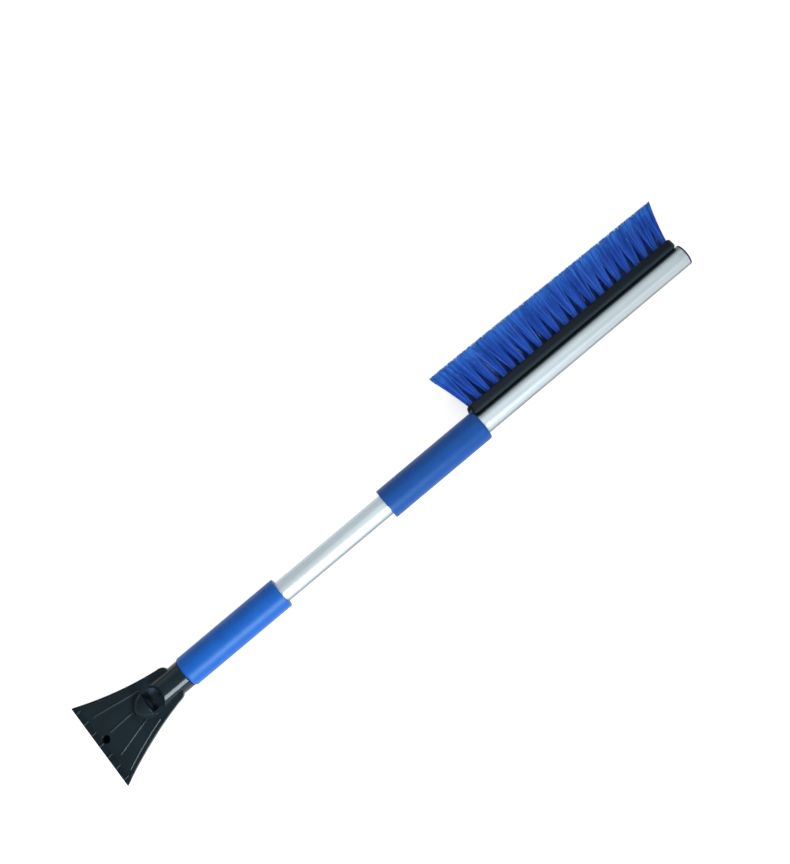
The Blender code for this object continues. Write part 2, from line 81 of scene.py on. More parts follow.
CAP_CLEARANCE = 0.3 * MM
CAP_FLANGE = 1.5 * MM
CAP_RIM = 0.6 * MM
CAP_GROOVE_DEPTH = 0.25 * MM
CAP_PLUG_WALL = 1.6 * MM
CAP_PLUG_BEVEL = 0.6 * MM

PLATE_TILT = math.radians(7.6)
PLATE_EDGE_HEIGHT = -4.5 * MM
EDGE_BEVEL_LENGTH = 8.0 * MM
EDGE_BEVEL_DROP = 1.2 * MM
TOOTH_END = 9.5 * MM
CREST_LOW = 0.15 * MM
CREST_RISE = 0.3 * MM
RIB_FADE = (12.0 * MM, 50.0 * MM)
RIB_FADE_TO = 0.4
SOCKET_RADIUS = 15.3 * MM
NOSE_START = 49.0 * MM
NOSE_END = 70.0 * MM
NOSE_CENTRE = (SCRAPER_START + 61.0 * MM, AXIS_Y, AXIS_Z + 4.0 * MM)
NOSE_RADIUS = 16.0 * MM
MOUTH_CENTRE = (SCRAPER_START + 79.0 * MM, AXIS_Y, AXIS_Z - 3.0 * MM)
MOUTH_RADIUS = 12.5 * MM
DIMPLE_CENTRE = (SCRAPER_START + 10.9 * MM, AXIS_Y + 1.1 * MM, AXIS_Z - 4.4 * MM)
DIMPLE_RADIUS = 4.6 * MM
SCRAPER_VOXEL = 0.35 * MM
BLOCK_VOXEL = 0.4 * MM
SMOOTHING_STEPS = 3

Row = namedtuple("Row", "filaments flare root_spread root_value corner_reach tint")
ROWS = {
    "front": Row(170, flare=1.2, root_spread=1.0, root_value=0.33, corner_reach=-1.2 * MM, tint=0.0),
    "back": Row(220, flare=1.0, root_spread=2.0, root_value=0.0, corner_reach=1.2 * MM, tint=-0.12),
}
ROW_OVERLAP = 1.2 * MM
FILAMENT_RADIUS = 0.19 * MM
FILAMENT_TAPER = 0.4
FILAMENT_BOW = 0.45 * MM
GOLDEN_ANGLE = 2.399963
SPIRAL_FILL = 0.96
HOLE_FILL = 0.92
SQUARENESS = 0.85
TIP_OVERLAP = 1.55
CUT_SHORT_SHARE = 0.04
CLUMPS = 9
CLUMP_TINT = 0.3
FILAMENT_TINT = 0.16
SPLITS = 4
SPLIT_FROM = 0.84
SPLIT_RADII = (0.55 * FILAMENT_RADIUS, 0.495 * FILAMENT_RADIUS, 0.33 * FILAMENT_RADIUS)
SPLIT_PARTING = (0.0, 0.4, 1.0)

# ------------------------------------------------------------------ camera

IMAGE_LONG_SIDE = 864.0
SENSOR_WIDTH = 36.0
VIEW_DISTANCE = 1.337
FOCAL_PIXELS = 1337.0
POLE_SLOPE = math.radians(40.0)
BROOM_ROLL = math.radians(13.0)
SQUARE_ON_X = -15.85 * MM
SHIFT_RIGHT = 12.8 / IMAGE_LONG_SIDE
SHIFT_UP = 76.1 / IMAGE_LONG_SIDE


def rolled_axes():
    """The way across the pole in the view, and the way back to the camera, with the broom rolled."""
    across = Vector((0, math.cos(BROOM_ROLL), math.sin(BROOM_ROLL)))
    back = Vector((0, -math.sin(BROOM_ROLL), math.cos(BROOM_ROLL)))
    return across, back


def make_camera():
    """A camera square to the pole, with the pole sloping up to the right."""
    pole = Vector((1, 0, 0))
    across, back = rolled_axes()
    right = math.cos(POLE_SLOPE) * pole - math.sin(POLE_SLOPE) * across
    up = math.sin(POLE_SLOPE) * pole + math.cos(POLE_SLOPE) * across
    place = Vector((SQUARE_ON_X, AXIS_Y, AXIS_Z)) + back * VIEW_DISTANCE
    data = bpy.data.cameras.new("camera")
    data.sensor_width = SENSOR_WIDTH
    data.lens = FOCAL_PIXELS / IMAGE_LONG_SIDE * SENSOR_WIDTH
    data.shift_x = SHIFT_RIGHT
    data.shift_y = SHIFT_UP
    camera = bpy.data.objects.new("camera", data)
    turn = Matrix((right, up, back)).transposed().to_4x4()
    camera.matrix_world = Matrix.Translation(place) @ turn
    scene.collection.objects.link(camera)
    scene.camera = camera


# ------------------------------------------------------------------ materials


def srgb(red, green, blue):
    """A linear colour with alpha from sRGB values of 0 to 255."""
    linear = []
    for value in (red, green, blue):
        share = value / 255
        linear.append(share / 12.92 if share <= 0.04045 else ((share + 0.055) / 1.055) ** 2.4)
    return (*linear, 1.0)


def colour_ramp(tree, factor, stops):
    """A ramp node in the tree, with a colour at each stop along the factor."""
    node = tree.nodes.new("ShaderNodeValToRGB")
    elements = node.color_ramp.elements
    while len(elements) < len(stops):
        elements.new(0.5)
    for element, (place, colour) in zip(elements, stops):
        element.position = place
        element.color = colour
    tree.links.new(factor, node.inputs["Fac"])
    return node.outputs["Color"]


class Look:
    """A Principled material, with short calls for the nodes that drive it."""

    def __init__(self, name):
        self.material = bpy.data.materials.new(name)
        self.material.use_nodes = True
        self.tree = self.material.node_tree
        self.shader = self.tree.nodes["Principled BSDF"]
        self.coords = self.tree.nodes.new("ShaderNodeTexCoord").outputs["Object"]

    def set(self, **values):
        for key, value in values.items():
            self.shader.inputs[key.replace("_", " ")].default_value = value

    def link(self, output, socket):
        self.tree.links.new(output, socket)

    def drive(self, output, name):
        """Links an output to the shader's named socket."""
        self.link(output, self.shader.inputs[name])

    def driver(self, name):
        """The output that is linked to the shader's named socket."""
        return self.shader.inputs[name].links[0].from_socket

    def stretched(self, x, y, z):
        """Object coordinates, scaled along each axis."""
        mapping = self.tree.nodes.new("ShaderNodeMapping")
        mapping.inputs["Scale"].default_value = (x, y, z)
        self.link(self.coords, mapping.inputs["Vector"])
        return mapping.outputs["Vector"]

    def noise(self, scale, detail, roughness=0.5, vector=None):
        node = self.tree.nodes.new("ShaderNodeTexNoise")
        node.inputs["Scale"].default_value = scale
        node.inputs["Detail"].default_value = detail
        node.inputs["Roughness"].default_value = roughness
        self.link(vector or self.coords, node.inputs["Vector"])
        return node.outputs["Fac"]

    def cells(self, scale):
        node = self.tree.nodes.new("ShaderNodeTexVoronoi")
        node.inputs["Scale"].default_value = scale
        self.link(self.coords, node.inputs["Vector"])
        return node.outputs["Distance"]

    def along_axis(self, axis):
        """One object coordinate: X, Y or Z."""
        node = self.tree.nodes.new("ShaderNodeSeparateXYZ")
        self.link(self.coords, node.inputs["Vector"])
        return node.outputs[axis]

    def attribute(self, name):
        """A value that is stored on the mesh."""
        node = self.tree.nodes.new("ShaderNodeAttribute")
        node.attribute_name = name
        return node.outputs["Fac"]

    def ramp(self, factor, *stops):
        return colour_ramp(self.tree, factor, stops)

    def span(self, factor, low, high, from_low=0.0, from_high=1.0):
        """The factor's range mapped to low and high."""
        node = self.tree.nodes.new("ShaderNodeMapRange")
        node.inputs["From Min"].default_value = from_low
        node.inputs["From Max"].default_value = from_high
        node.inputs["To Min"].default_value = low
        node.inputs["To Max"].default_value = high
        self.link(factor, node.inputs["Value"])
        return node.outputs["Result"]

    def math(self, operation, first, second):
        """A sum, product or other operation on two values, each a number or an output."""
        node = self.tree.nodes.new("ShaderNodeMath")
        node.operation = operation
        for socket, value in zip(node.inputs, (first, second)):
            if isinstance(value, (int, float)):
                socket.default_value = value
            else:
                self.link(value, socket)
        return node.outputs["Value"]

    def mix(self, factor, output, colour):
        """The output where the factor is 0, blended into a fixed colour where it is 1."""
        node = self.tree.nodes.new("ShaderNodeMix")
        node.data_type = "RGBA"
        self.link(factor, node.inputs[0])
        self.link(output, node.inputs[6])
        node.inputs[7].default_value = colour
        return node.outputs[2]

    def bump(self, height, strength, distance):
        """Tilts the surface by a height; the distance is what a height of 1 stands for."""
        node = self.tree.nodes.new("ShaderNodeBump")
        node.inputs["Strength"].default_value = strength
        node.inputs["Distance"].default_value = distance
        self.link(height, node.inputs["Height"])
        self.drive(node.outputs["Normal"], "Normal")


def aluminium_look():
    """Drawn tube, satin anodised: fine lines along the pole, painted shade on its lower side and a painted
    shadow and reflection of the block beside it.
    """
    look = Look("satin_aluminium")
    look.set(Metallic=1.0)
    lines = look.noise(900.0, detail=4.0, vector=look.stretched(0.02, 1.0, 1.0))
    mottle = look.noise(35.0, detail=4.0)
    # Painted shade: the colour is lighter on top of the tube and darker toward its lower side.
    height = look.span(look.along_axis("Z"), 0.0, 1.0, AXIS_Z, AXIS_Z + TUBE_RADIUS)
    colour = look.ramp(
        height,
        (0.0, srgb(104, 112, 117)),
        (0.2, srgb(122, 132, 138)),
        (0.5, srgb(182, 194, 200)),
        (1.0, srgb(187, 200, 206)),
    )
    colour = look.mix(look.span(mottle, 0.0, 0.12, 0.3, 0.7), colour, srgb(214, 224, 228))
    # Painted shadow and reflection of the brush block: a dark band along the tube beside the block.
    beside = look.span(look.along_axis("Y"), 0.0, 0.75, AXIS_Y + BLOCK_SHADOW_START, AXIS_Y + BLOCK_SHADOW_END)
    along = look.span(look.along_axis("X"), 0.0, 1.0, BLOCK_START - 2 * MM, BLOCK_START + 7 * MM)
    colour = look.mix(look.math("MULTIPLY", beside, along), colour, srgb(62, 72, 78))
    colour = look.mix(look.span(lines, 0.0, 0.07), colour, srgb(120, 130, 136))
    look.drive(colour, "Base Color")
    look.drive(look.span(lines, 0.38, 0.48), "Roughness")
    look.bump(lines, 0.07, 0.05 * MM)
    return look.material


def foam_look():
    """Closed-cell foam: fine pits with painted shade in them, a soft mottle and a satin skin, and painted
    shade in a darker blue toward the brush.
    """
    look = Look("blue_foam")
    look.set(Specular_IOR_Level=0.24, Specular_Tint=(0.6, 0.95, 1.0, 1.0))
    pits = look.cells(1500.0)
    grain = look.noise(900.0, detail=5.0, roughness=0.65)
    mottle = look.noise(60.0, detail=5.0)
    broad = look.noise(14.0, detail=2.0)
    colour = look.ramp(mottle, (0.3, srgb(12, 72, 150)), (0.7, srgb(17, 80, 162)))
    colour = look.mix(look.span(broad, 0.0, 0.25), colour, srgb(10, 66, 142))
    # Painted shade in the pits: the colour darkens toward each pit's bottom.
    colour = look.mix(look.span(pits, 0.35, 0.0, 0.0, 0.45), colour, srgb(8, 48, 112))
    # Painted shade: the foam darkens along the pole toward the brush, away from the key light.
    painted_shade = look.span(look.along_axis("X"), 0.0, 0.55, FOAM_SHADE_FROM, FOAM_SHADE_TO)
    look.drive(look.mix(painted_shade, colour, srgb(8, 46, 104)), "Base Color")
    look.drive(look.span(grain, 0.36, 0.46), "Roughness")
    look.bump(look.math("ADD", look.span(pits, 0.0, 0.8), grain), 0.25, 0.12 * MM)
    return look.material


def moulded_look(name, dark, pale, roughness, grain_strength, index=1.34):
    """Dark moulded plastic with a fine spark texture and faint flow marks."""
    look = Look(name)
    look.set(IOR=index, Specular_Tint=(0.8, 0.93, 1.0, 1.0))
    grain = look.noise(1400.0, detail=4.0, roughness=0.6)
    flow = look.noise(28.0, detail=4.0, vector=look.stretched(1.0, 2.5, 1.0))
    look.drive(look.ramp(flow, (0.3, dark), (0.7, pale)), "Base Color")
    wear = look.noise(160.0, detail=5.0, roughness=0.7)
    look.drive(look.span(wear, roughness - 0.04, roughness + 0.08), "Roughness")
    look.bump(grain, grain_strength, 0.06 * MM)
    return look


def tinted(look, share, colour):
    """Blends the base colour into another one by the share."""
    look.drive(look.mix(share, look.driver("Base Color"), colour), "Base Color")


def rougher(look, value):
    """Raises the roughness to the value, where it is lower."""
    look.drive(look.math("MAXIMUM", look.driver("Roughness"), value), "Roughness")


def duller(look, shade):
    """Lowers the specular level to nothing where the shade value is 1."""
    level = look.span(shade, 0.5, 0.0)
    if look.shader.inputs["Specular IOR Level"].is_linked:
        level = look.math("MINIMUM", look.driver("Specular IOR Level"), level)
    look.drive(level, "Specular IOR Level")


def satin_plate(look):
    """Gives the plate a satin face and the ice-worn strip along its edge a dull one."""
    along = look.along_axis("X")
    satin_from, satin_to = SCRAPER_START + 58 * MM, SCRAPER_START + 72 * MM
    rougher(look, look.span(along, 0.3, 0.0, satin_from, satin_to))
    bevel_end = SCRAPER_START + EDGE_BEVEL_LENGTH
    strip = look.span(along, 0.8, 0.0, bevel_end - 1 * MM, bevel_end + 1 * MM)
    rougher(look, strip)
    duller(look, strip)


def dull_patch_and_painted_light(look, centre, radius, colour, strength):
    """Takes the shine off a round patch and blends it into a colour, inside the radius of its centre; the
    mouth's colour is painted light and the dimple's painted shade.
    """
    node = look.tree.nodes.new("ShaderNodeVectorMath")
    node.operation = "DISTANCE"
    look.link(look.coords, node.inputs[0])
    node.inputs[1].default_value = centre
    shade = look.span(node.outputs["Value"], strength, 0.0, radius * 0.85, radius * 1.05)
    tinted(look, shade, colour)
    duller(look, shade)


def crest_highlights_and_wear(look):
    """Pales the colour with a painted highlight and dulls the mesh where its crest value is high: the ribs
    and teeth that rub on glass.
    """
    crest = look.attribute("crest")
    # Painted highlight: the crests are paled toward a lighter grey.
    tinted(look, crest, srgb(48, 59, 65))
    rougher(look, look.math("MULTIPLY", crest, 0.5))


def scraper_look():
    """Semi-gloss plastic with a satin plate, a painted highlight on its worn crests, a dull nose, and a dull
    mouth and dimple with painted light in the mouth's bore and painted shade in the dimple.
    """
    look = moulded_look("scraper_plastic", srgb(16, 26, 31), srgb(21, 32, 38), 0.12, 0.05)
    satin_plate(look)
    crest_highlights_and_wear(look)
    dull_patch_and_painted_light(look, NOSE_CENTRE, NOSE_RADIUS, srgb(24, 33, 39), 0.7)
    # Painted light: the bore inside the mouth is paled, where it lies in shade.
    dull_patch_and_painted_light(look, MOUTH_CENTRE, MOUTH_RADIUS, srgb(70, 80, 98), 0.9)
    # Painted shade: the dimple is darkened nearly to black.
    dull_patch_and_painted_light(look, DIMPLE_CENTRE, DIMPLE_RADIUS, srgb(3, 4, 5), 1.0)
    return look.material


def block_look():
    """Satin plastic with a painted highlight that pales it toward the block's lower edge, beside the tube.
    """
    look = moulded_look("block_plastic", srgb(5, 12, 20), srgb(9, 17, 25), 0.3, 0.1, index=1.24)
    highlight_from, highlight_to = BLOCK_BOTTOM + 4 * MM, BLOCK_BOTTOM + 0.7 * MM
    share = look.span(look.along_axis("Y"), 0.0, 1.0, highlight_from, highlight_to)
    # Painted highlight: the colour pales toward the block's lower edge.
    tinted(look, share, srgb(29, 42, 47))
    return look.material


def cap_look():
    """Smooth plastic with a slight purple tone."""
    return moulded_look("cap_plastic", srgb(36, 12, 62), srgb(44, 18, 74), 0.35, 0.1).material


def bristle_look():
    """Nylon filaments: painted shade at the back row's roots, paler where the tips are split and frayed."""
    look = Look("blue_bristle")
    look.set(Roughness=0.5)
    tint = look.attribute("tint")
    # The lowest stops are painted shade at the roots, darkest at the back row's.
    colour = look.ramp(
        look.attribute("along"),
        (0.0, srgb(3, 18, 60)),
        (0.2, srgb(8, 50, 140)),
        (0.35, srgb(18, 97, 226)),
        (0.75, srgb(16, 95, 217)),
        (0.9, srgb(36, 132, 246)),
        (1.0, srgb(84, 168, 252)),
    )
    colour = look.mix(look.span(tint, 0.0, 0.6), colour, srgb(10, 54, 150))
    # Painted highlight streaks: filaments with a low tint are paled.
    colour = look.mix(look.span(tint, 0.3, 0.0, 0.0, 0.4), colour, srgb(110, 165, 240))
    look.drive(colour, "Base Color")
    return look.material


def steel_look():
    """Zinc-plated screw heads with fine turning marks."""
    look = Look("zinc_screw")
    look.set(Metallic=1.0)
    marks = look.noise(2600.0, detail=3.0)
    colour = look.ramp(marks, (0.3, srgb(150, 152, 158)), (0.7, srgb(196, 198, 202)))
    look.drive(colour, "Base Color")
    look.drive(look.span(marks, 0.25, 0.45), "Roughness")
    look.bump(marks, 0.1, 0.03 * MM)
    return look.material


def floor_look():
    """A matt studio floor that glows a little, so that it stays white away from the lights."""
    look = Look("studio_floor")
    look.set(Roughness=0.9, Specular_IOR_Level=0.0)
    look.set(Emission_Color=srgb(255, 255, 255), Emission_Strength=0.75)
    tone = look.noise(3.0, detail=2.0)
    look.drive(look.ramp(tone, (0.0, srgb(176, 176, 176)), (1.0, srgb(182, 182, 182))), "Base Color")
    return look.material


# ------------------------------------------------------------------ mesh helpers


def add_piece(name, mesh, look, slot, *stands_for):
    """Links a finished mesh as a piece of the broom."""
    piece = bpy.data.objects.new(name, mesh)
    scene.collection.objects.link(piece)
    mesh.materials.clear()
    mesh.materials.append(look)
    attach(piece, "root")
    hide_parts(*stands_for)
    return piece


def arc(centre_along, centre_radius, radius, start_degrees, end_degrees, steps):
    """(x, radius) points along a circle's arc, both ends included."""
    points = []
    for i in range(steps + 1):
        angle = math.radians(start_degrees + (end_degrees - start_degrees) * i / steps)
        points.append((centre_along + radius * math.cos(angle), centre_radius + radius * math.sin(angle)))
    return points


def turned(name, profile, sides, closed=True):
    """A mesh turned about the pole's axis from (x, radius) points; closed joins the last to the first."""
    builder = bmesh.new()
    rings = []
    for x, radius in profile:
        ring = []
        for i in range(sides if radius > 0.0 else 1):
            angle = 2 * math.pi * i / sides
            y = AXIS_Y + radius * math.cos(angle)
            z = AXIS_Z + radius * math.sin(angle)
            ring.append(builder.verts.new((x, y, z)))
        rings.append(ring)
    pairs = list(zip(rings, rings[1:]))
    if closed:
        pairs.append((rings[-1], rings[0]))
    for near, far in pairs:
        for i in range(sides):
            j = (i + 1) % sides
            corners = [near[i % len(near)], near[j % len(near)], far[j % len(far)], far[i % len(far)]]
            unique = list(dict.fromkeys(corners))
            if len(unique) > 2:
                builder.faces.new(unique)
    bmesh.ops.recalc_face_normals(builder, faces=builder.faces)
    mesh = bpy.data.meshes.new(name)
    builder.to_mesh(mesh)
    builder.free()
    mesh.shade_smooth()
    mesh.set_sharp_from_angle(angle=math.radians(40))
    return mesh


def spaced(start, end, step):
    """Evenly spaced values strictly between start and end, about step apart."""
    count = max(1, round(abs(end - start) / step))
    return [start + (end - start) * i / count for i in range(1, count)]


# ------------------------------------------------------------------ pole, grips, cap


def make_pole(look):
    """The tube, with its two cut ends slightly rounded."""
    start, end = tube_low.x, tube_high.x
    middle = TUBE_RADIUS - TUBE_RIM
    bore = TUBE_RADIUS - TUBE_WALL
    profile = arc(end - TUBE_RIM, middle, TUBE_RIM, 0, 90, 3)
    profile += [(x, TUBE_RADIUS) for x in spaced(end - TUBE_RIM, start + TUBE_RIM, 8 * MM)]
    profile += arc(start + TUBE_RIM, middle, TUBE_RIM, 90, 180, 3)
    profile += [(start, bore), (end, bore)]
    mesh = turned("pole", profile, TUBE_SIDES)
    add_piece("pole", mesh, look, "aluminium_tube", "pole_tube")


def make_grip(node, low_rim, high_rim, look):
    """A foam sleeve, rounded at its low and high ends by the two rims."""
    low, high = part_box(node)
    radius = (high.z - low.z) / 2
    bore = TUBE_RADIUS + GRIP_CLEARANCE
    bevel = GRIP_BORE_BEVEL
    profile = arc(high.x - high_rim, radius - high_rim, high_rim, 0, 90, 8)
    profile += [(x, radius) for x in spaced(high.x - high_rim, low.x + low_rim, 2.5 * MM)]
    profile += arc(low.x + low_rim, radius - low_rim, low_rim, 90, 180, 8)
    profile += [(low.x, bore + bevel), (low.x + bevel, bore)]
    profile += [(x, bore) for x in spaced(low.x + bevel, high.x - bevel, 12 * MM)]
    profile += [(high.x - bevel, bore), (high.x, bore + bevel)]
    mesh = turned(node + "_foam", profile, GRIP_SIDES)
    piece = add_piece(node + "_foam", mesh, look, "blue_foam", node)


def make_cap(look):
    """The end cap: a rounded flange with a shallow groove in its face, and a hollow plug."""
    low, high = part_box("end_cap")
    face = high.x
    groove = high.x - CAP_GROOVE_DEPTH
    shoulder = high.x - CAP_FLANGE
    plug = TUBE_RADIUS - TUBE_WALL - CAP_CLEARANCE
    profile = [(face, 0.0), (face, TUBE_RADIUS - 4 * MM)]
    profile += [(groove, TUBE_RADIUS - 3.4 * MM), (groove, TUBE_RADIUS - 3 * MM)]
    profile += [(face, TUBE_RADIUS - 2.4 * MM)]
    profile += arc(face - CAP_RIM, TUBE_RADIUS - CAP_RIM, CAP_RIM, 0, 90, 5)
    profile += arc(shoulder + CAP_RIM / 2, TUBE_RADIUS - CAP_RIM / 2, CAP_RIM / 2, 90, 180, 3)
    profile += [(shoulder, plug), (low.x + 1 * MM, plug), (low.x, plug - CAP_PLUG_BEVEL)]
    profile += [(low.x, plug - CAP_PLUG_WALL), (shoulder, plug - CAP_PLUG_WALL), (shoulder, 0.0)]
    mesh = turned("end_cap_moulding", profile, TUBE_SIDES, closed=False)
    add_piece("end_cap_moulding", mesh, look, "cap_plastic", "end_cap")


# ------------------------------------------------------------------ scraper and brush block


def remeshed(name, node, voxel, tilt=0.0):
    """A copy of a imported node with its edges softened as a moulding's are: a voxel remesh, then smoothing.

    The copy is turned by tilt about Y while it is remeshed, so that its main face lies along the grid.
    """
    turn = Matrix.Rotation(tilt, 4, "Y")
    mesh = nodes[node].data.copy()
    mesh.transform(turn)
    source = bpy.data.objects.new(name + "_source", mesh)
    scene.collection.objects.link(source)
    remesh = source.modifiers.new("remesh", "REMESH")
    remesh.mode = "VOXEL"
    remesh.voxel_size = voxel
    remesh.adaptivity = 0.0
    smooth = source.modifiers.new("smooth", "SMOOTH")
    smooth.factor = 0.5
    smooth.iterations = SMOOTHING_STEPS
    bpy.context.view_layer.update()
    evaluated = source.evaluated_get(bpy.context.evaluated_depsgraph_get())
    made = bpy.data.meshes.new_from_object(evaluated)
    made.name = name
    made.transform(turn.inverted())
    bpy.data.objects.remove(source, do_unlink=True)
    made.shade_smooth()
    return made


def snap_round(mesh, radius, tolerance, start, end):
    """Puts points that are nearly on a cylinder about the pole's axis exactly on it."""
    for vertex in mesh.vertices:
        if not start < vertex.co.x < end:
            continue
        offset = Vector((vertex.co.y - AXIS_Y, vertex.co.z - AXIS_Z))
        if abs(offset.length - radius) < tolerance:
            offset *= radius / offset.length
            vertex.co.y = AXIS_Y + offset.x
            vertex.co.z = AXIS_Z + offset.y


def mark_crests(mesh):
    """Stores how far each point stands over the flat of the plate, as a share of the ribs' height.

    The share falls off along the ribs toward the blade's edge, where their painted highlight is fainter and
    they are less worn than the teeth.
    """
    points = np.array([vertex.co for vertex in mesh.vertices])
    along = points[:, 0] - SCRAPER_START
    across = np.abs(points[:, 1] - AXIS_Y)
    face = AXIS_Z + PLATE_EDGE_HEIGHT + along * math.tan(PLATE_TILT)
    bevel = EDGE_BEVEL_DROP * np.clip(1 - along / EDGE_BEVEL_LENGTH, 0.0, 1.0)
    rise = points[:, 2] - (face - bevel)
    crest = np.clip((rise - CREST_LOW) / CREST_RISE, 0.0, 1.0)
    on_nose = (along > NOSE_START) & (across < SOCKET_RADIUS)
    crest[on_nose | (along > NOSE_END)] = 0.0
    on_rib = along > TOOTH_END
    crest[on_rib] *= np.interp(along[on_rib], RIB_FADE, (RIB_FADE_TO, 1.0))
    attribute = mesh.attributes.new("crest", "FLOAT", "POINT")
    attribute.data.foreach_set("value", crest.astype(np.float32))


def make_scraper(look):
    """The scraper head, with a true round socket and its crests marked."""
    mesh = remeshed("scraper_moulding", "scraper_head", SCRAPER_VOXEL, tilt=PLATE_TILT)
    low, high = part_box("scraper_head")
    snap_round(mesh, SOCKET_RADIUS, 0.12 * MM, low.x + NOSE_END + 2 * MM, high.x - 0.8 * MM)
    mark_crests(mesh)
    add_piece("scraper_moulding", mesh, look, "scraper_plastic", "scraper_head")


def make_block(look):
    mesh = remeshed("brush_block_moulding", "brush_block", BLOCK_VOXEL)
    add_piece("brush_block_moulding", mesh, look, "block_plastic", "brush_block")


# ------------------------------------------------------------------ bristles


def tuft_frame(node):
    """The middle and radius of a tuft's root, and the low and high corners of its tips."""
    points = np.array([vertex.co for vertex in nodes[node].data.vertices])
    bottom, top = points[:, 1].min(), points[:, 1].max()
    root = points[points[:, 1] < bottom + 1 * MM]
    tips = points[points[:, 1] > top - 1.5 * MM]
    radius = (root[:, 2].max() - root[:, 2].min()) / 2
    return root.mean(axis=0), radius, tips.min(axis=0), tips.max(axis=0)


def highest_point(node):
    """The x and y of the node's highest point."""
    points = np.array([vertex.co for vertex in nodes[node].data.vertices])
    top = points[points[:, 1].argmax()]
    return top[0], top[1]


def root_reach():
    """The x reach of the front row's roots."""
    first, radius, _, _ = tuft_frame(FIRST_TUFT)
    last = tuft_frame(LAST_TUFT)[0]
    return first[0] - radius, last[0] + radius


TRIM_LINE = (highest_point(FIRST_TUFT), highest_point(LAST_TUFT))
TIP_REACH = (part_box(FIRST_TUFT)[0].x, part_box(LAST_TUFT)[1].x)
ROOT_REACH = root_reach()


def tip_height(x):
    """The height of the trimmed tips at x, on the line between the two end tufts' highest points."""
    (x0, y0), (x1, y1) = TRIM_LINE
    return y0 + (y1 - y0) * (x - x0) / (x1 - x0)


def disc_to_square(x, y):
    """Spreads a point of the unit disc over the unit square, most of the way."""
    length = math.hypot(x, y)
    if length == 0.0:
        return 0.0, 0.0
    stretch = 1 + SQUARENESS * (length / max(abs(x), abs(y)) - 1)
    return x * stretch, y * stretch


def clamped(value, low, high):
    return min(max(value, low), high)


def folded(value, low, high):
    """The value, turned back from an end that it passes."""
    if value < low:
        return min(2 * low - value, high)
    if value > high:
        return max(2 * high - value, low)
    return value


class Strands:
    """Collects thin three-sided filaments into one mesh with root-to-tip and tint values."""

    def __init__(self):
        self.points = []
        self.faces = []
        self.along = []
        self.tint = []

    def add(self, path, radii, shares, tint):
        """Adds a closed filament along the path; the tint also turns its section."""
        first = len(self.points)
        for index, point in enumerate(path):
            ahead = path[min(index + 1, len(path) - 1)]
            behind = path[max(index - 1, 0)]
            direction = (ahead - behind).normalized()
            side = direction.cross(Vector((0, 0, 1))).normalized()
            other = direction.cross(side)
            for corner in range(3):
                angle = 2 * math.pi * corner / 3 + tint * 6.0
                offset = side * math.cos(angle) + other * math.sin(angle)
                self.points.append(point + offset * radii[index])
                self.along.append(shares[index])
                self.tint.append(tint)
        for ring in range(first, first + 3 * (len(path) - 1), 3):
            for corner in range(3):
                this, following = ring + corner, ring + (corner + 1) % 3
                self.faces.append((this, following, following + 3, this + 3))
        last = first + 3 * (len(path) - 1)
        self.faces.append((first + 2, first + 1, first))
        self.faces.append((last, last + 1, last + 2))

    def mesh(self, name):
        made = bpy.data.meshes.new(name)
        made.from_pydata([tuple(point) for point in self.points], [], self.faces)
        for label, values in (("along", self.along), ("tint", self.tint)):
            attribute = made.attributes.new(label, "FLOAT", "POINT")
            attribute.data.foreach_set("value", np.array(values, dtype=np.float32))
        made.shade_smooth()
        return made


